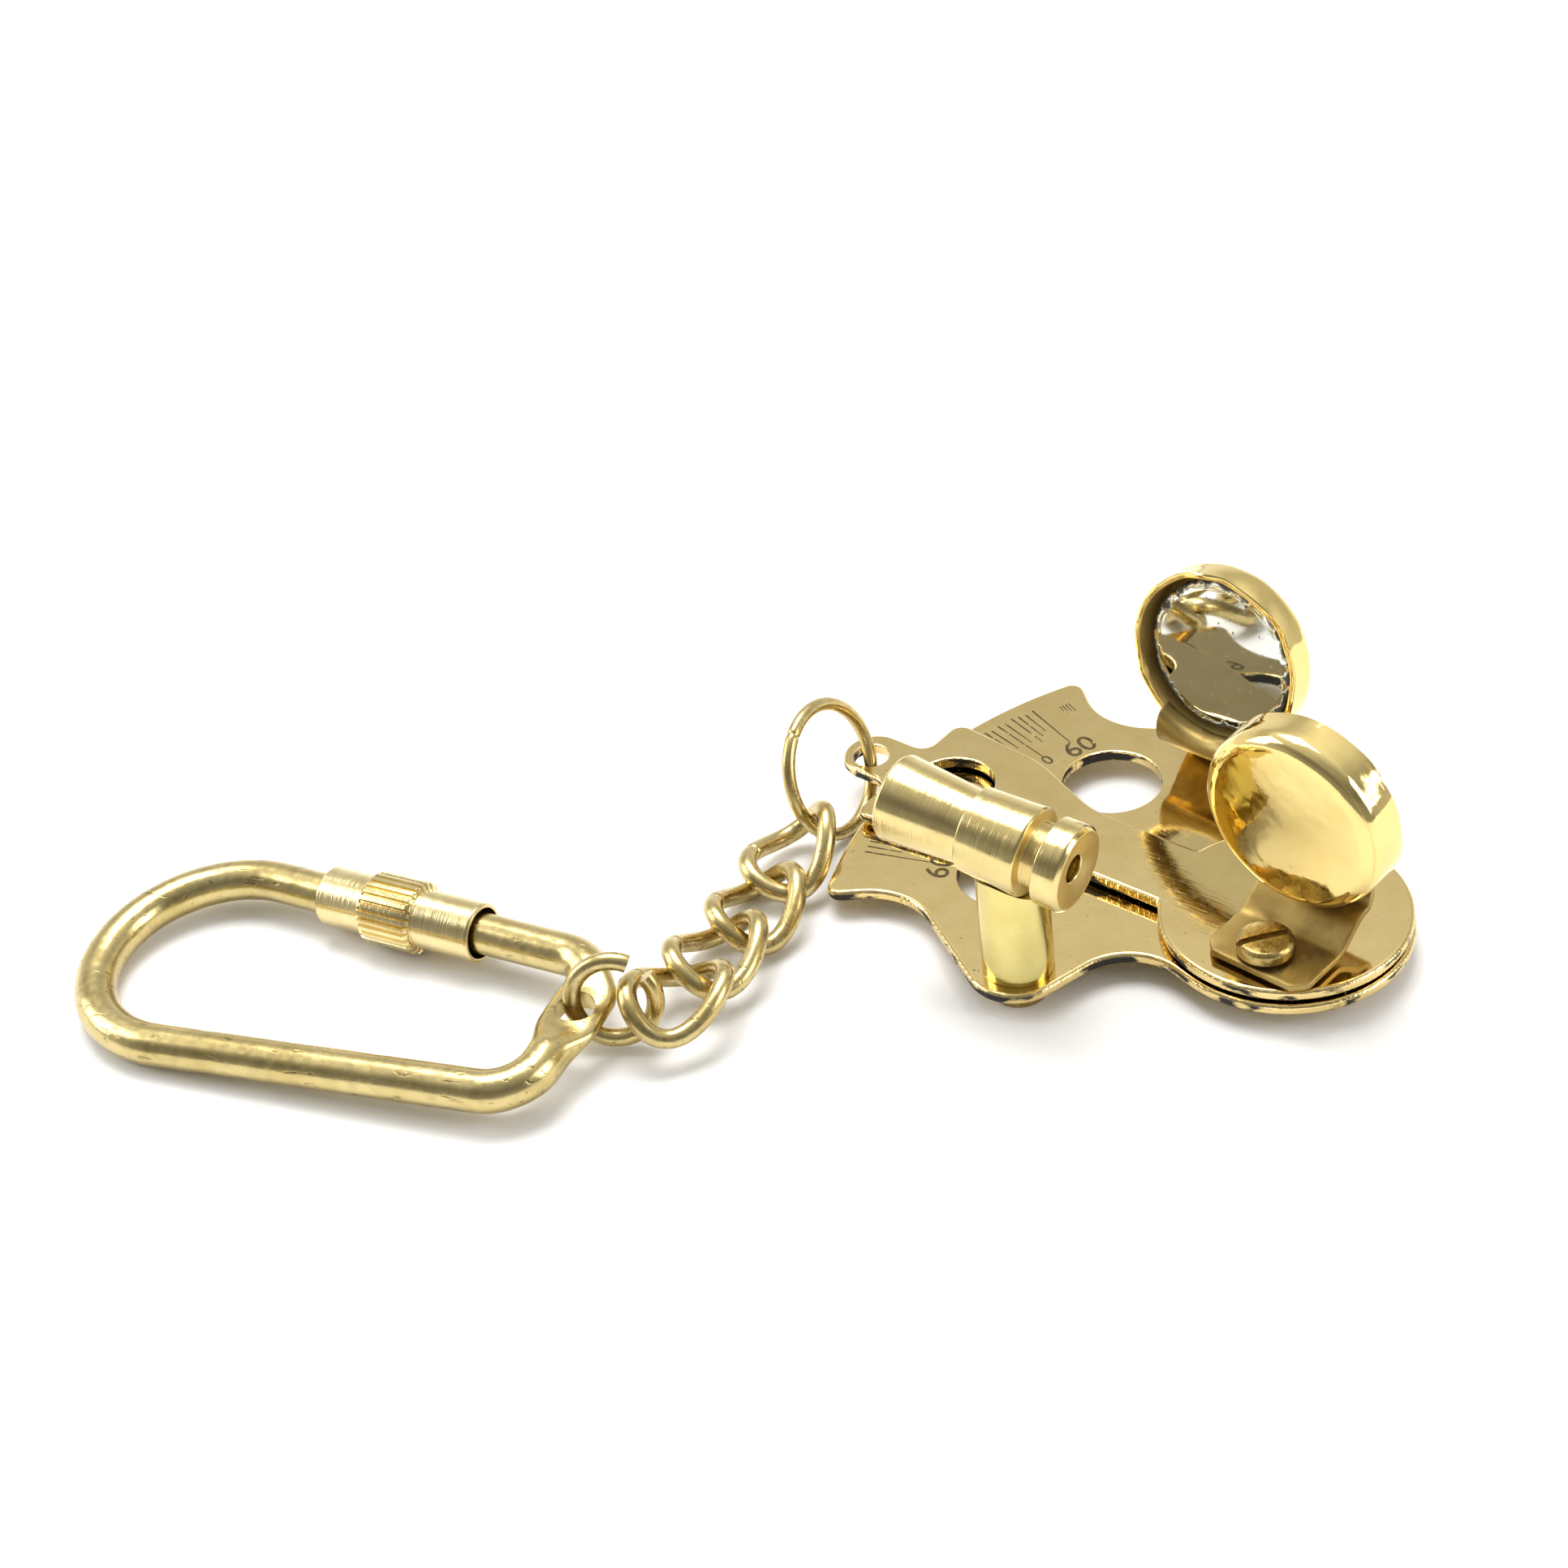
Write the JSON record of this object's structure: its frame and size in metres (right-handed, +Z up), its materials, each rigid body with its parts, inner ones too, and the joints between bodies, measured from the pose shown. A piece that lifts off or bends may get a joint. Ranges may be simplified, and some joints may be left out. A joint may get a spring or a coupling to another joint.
{
  "type": "keychain sextant",
  "caption": "Miniature brass sextant charm with a swinging index arm, telescope and two mirrors, on a curb chain with a locking key loop.",
  "frame": {"origin": "on the floor under the index arm's pivot, at the centre of the rivet head's flat underside", "axes": "+Z up, -X from the pivot towards the limb that carries the scale, +Y towards the horizon mirror, with the telescope on the -Y side"},
  "size_m": [0.0903, 0.0821, 0.0229],
  "materials": {
    "sheet_brass": "mirror-polished sheet with worn, slightly darkened edges",
    "drawn_brass": "polished drawn cup, darker inside",
    "turned_brass": "bright turned brass with fine lathe lines",
    "fastener_brass": "matte tarnished brass",
    "wire_brass": "satin aged brass wire",
    "rod_brass": "satin rod brass with fine scratches",
    "mirror_glass": "silvered glass with a chipped rim"
  },
  "bodies": {
    "frame": {"frame_plate": "sheet_brass", "pivot_rivet": "sheet_brass", "telescope": "turned_brass", "telescope_post": "turned_brass", "telescope_screw": "fastener_brass", "horizon_mirror_cup": "drawn_brass", "horizon_mirror_glass": "mirror_glass", "horizon_mirror_screw": "fastener_brass", "horizon_mirror_nut": "fastener_brass"},
    "arm": {"index_arm": "sheet_brass", "index_mirror_cup": "drawn_brass", "index_mirror_glass": "mirror_glass", "index_mirror_screw": "fastener_brass"},
    "upper_ring": {"jump_ring": "wire_brass"},
    "link_1": {"chain_link_1": "wire_brass"},
    "link_2": {"chain_link_2": "wire_brass"},
    "link_3": {"chain_link_3": "wire_brass"},
    "link_4": {"chain_link_4": "wire_brass"},
    "lower_ring": {"loop_ring": "wire_brass"},
    "loop": {"key_loop": "rod_brass"},
    "sleeve": {"lock_sleeve": "turned_brass"}
  },
  "joints": [
    {"name": "arm_swing", "type": "hinge", "parent": "frame", "child": "arm", "pos_m": [0, 0, 0], "axis": [0, 0, 1], "range_deg": [-24, 22]},
    {"name": "jump_ring_swing", "type": "hinge", "parent": "arm", "child": "upper_ring", "pos_m": [-0.03962, -0.00228, 0.00383], "axis": [0, 0, 1], "range_deg": [-20, 1]},
    {"name": "link_1_swing", "type": "hinge", "parent": "upper_ring", "child": "link_1", "pos_m": [-0.0379, -0.01144, 0.00386], "axis": [0, 0, 1], "range_deg": [-20, 1]},
    {"name": "link_2_swing", "type": "hinge", "parent": "link_1", "child": "link_2", "pos_m": [-0.03766, -0.01824, 0.00197], "axis": [0, 0, 1], "range_deg": [-10, 6]},
    {"name": "link_3_swing", "type": "hinge", "parent": "link_2", "child": "link_3", "pos_m": [-0.03481, -0.02437, 0.00255], "axis": [0, 0, 1], "range_deg": [-15, 8]},
    {"name": "link_4_swing", "type": "hinge", "parent": "link_3", "child": "link_4", "pos_m": [-0.03183, -0.02992, 0.00278], "axis": [0, 0, 1], "range_deg": [-8, 10]},
    {"name": "loop_ring_swing", "type": "hinge", "parent": "link_4", "child": "lower_ring", "pos_m": [-0.03445, -0.03618, 0.00557], "axis": [0, 0, 1], "range_deg": [-14, 16]},
    {"name": "key_loop_swing", "type": "hinge", "parent": "lower_ring", "child": "loop", "pos_m": [-0.03797, -0.03974, 0.0034], "axis": [0, 0, 1], "range_deg": [-14, 16]},
    {"name": "sleeve_slide", "type": "slide", "parent": "loop", "child": "sleeve", "axis": [0.9738, 0.2255, 0.0288], "range_m": [0, 0.0062]}
  ]
}
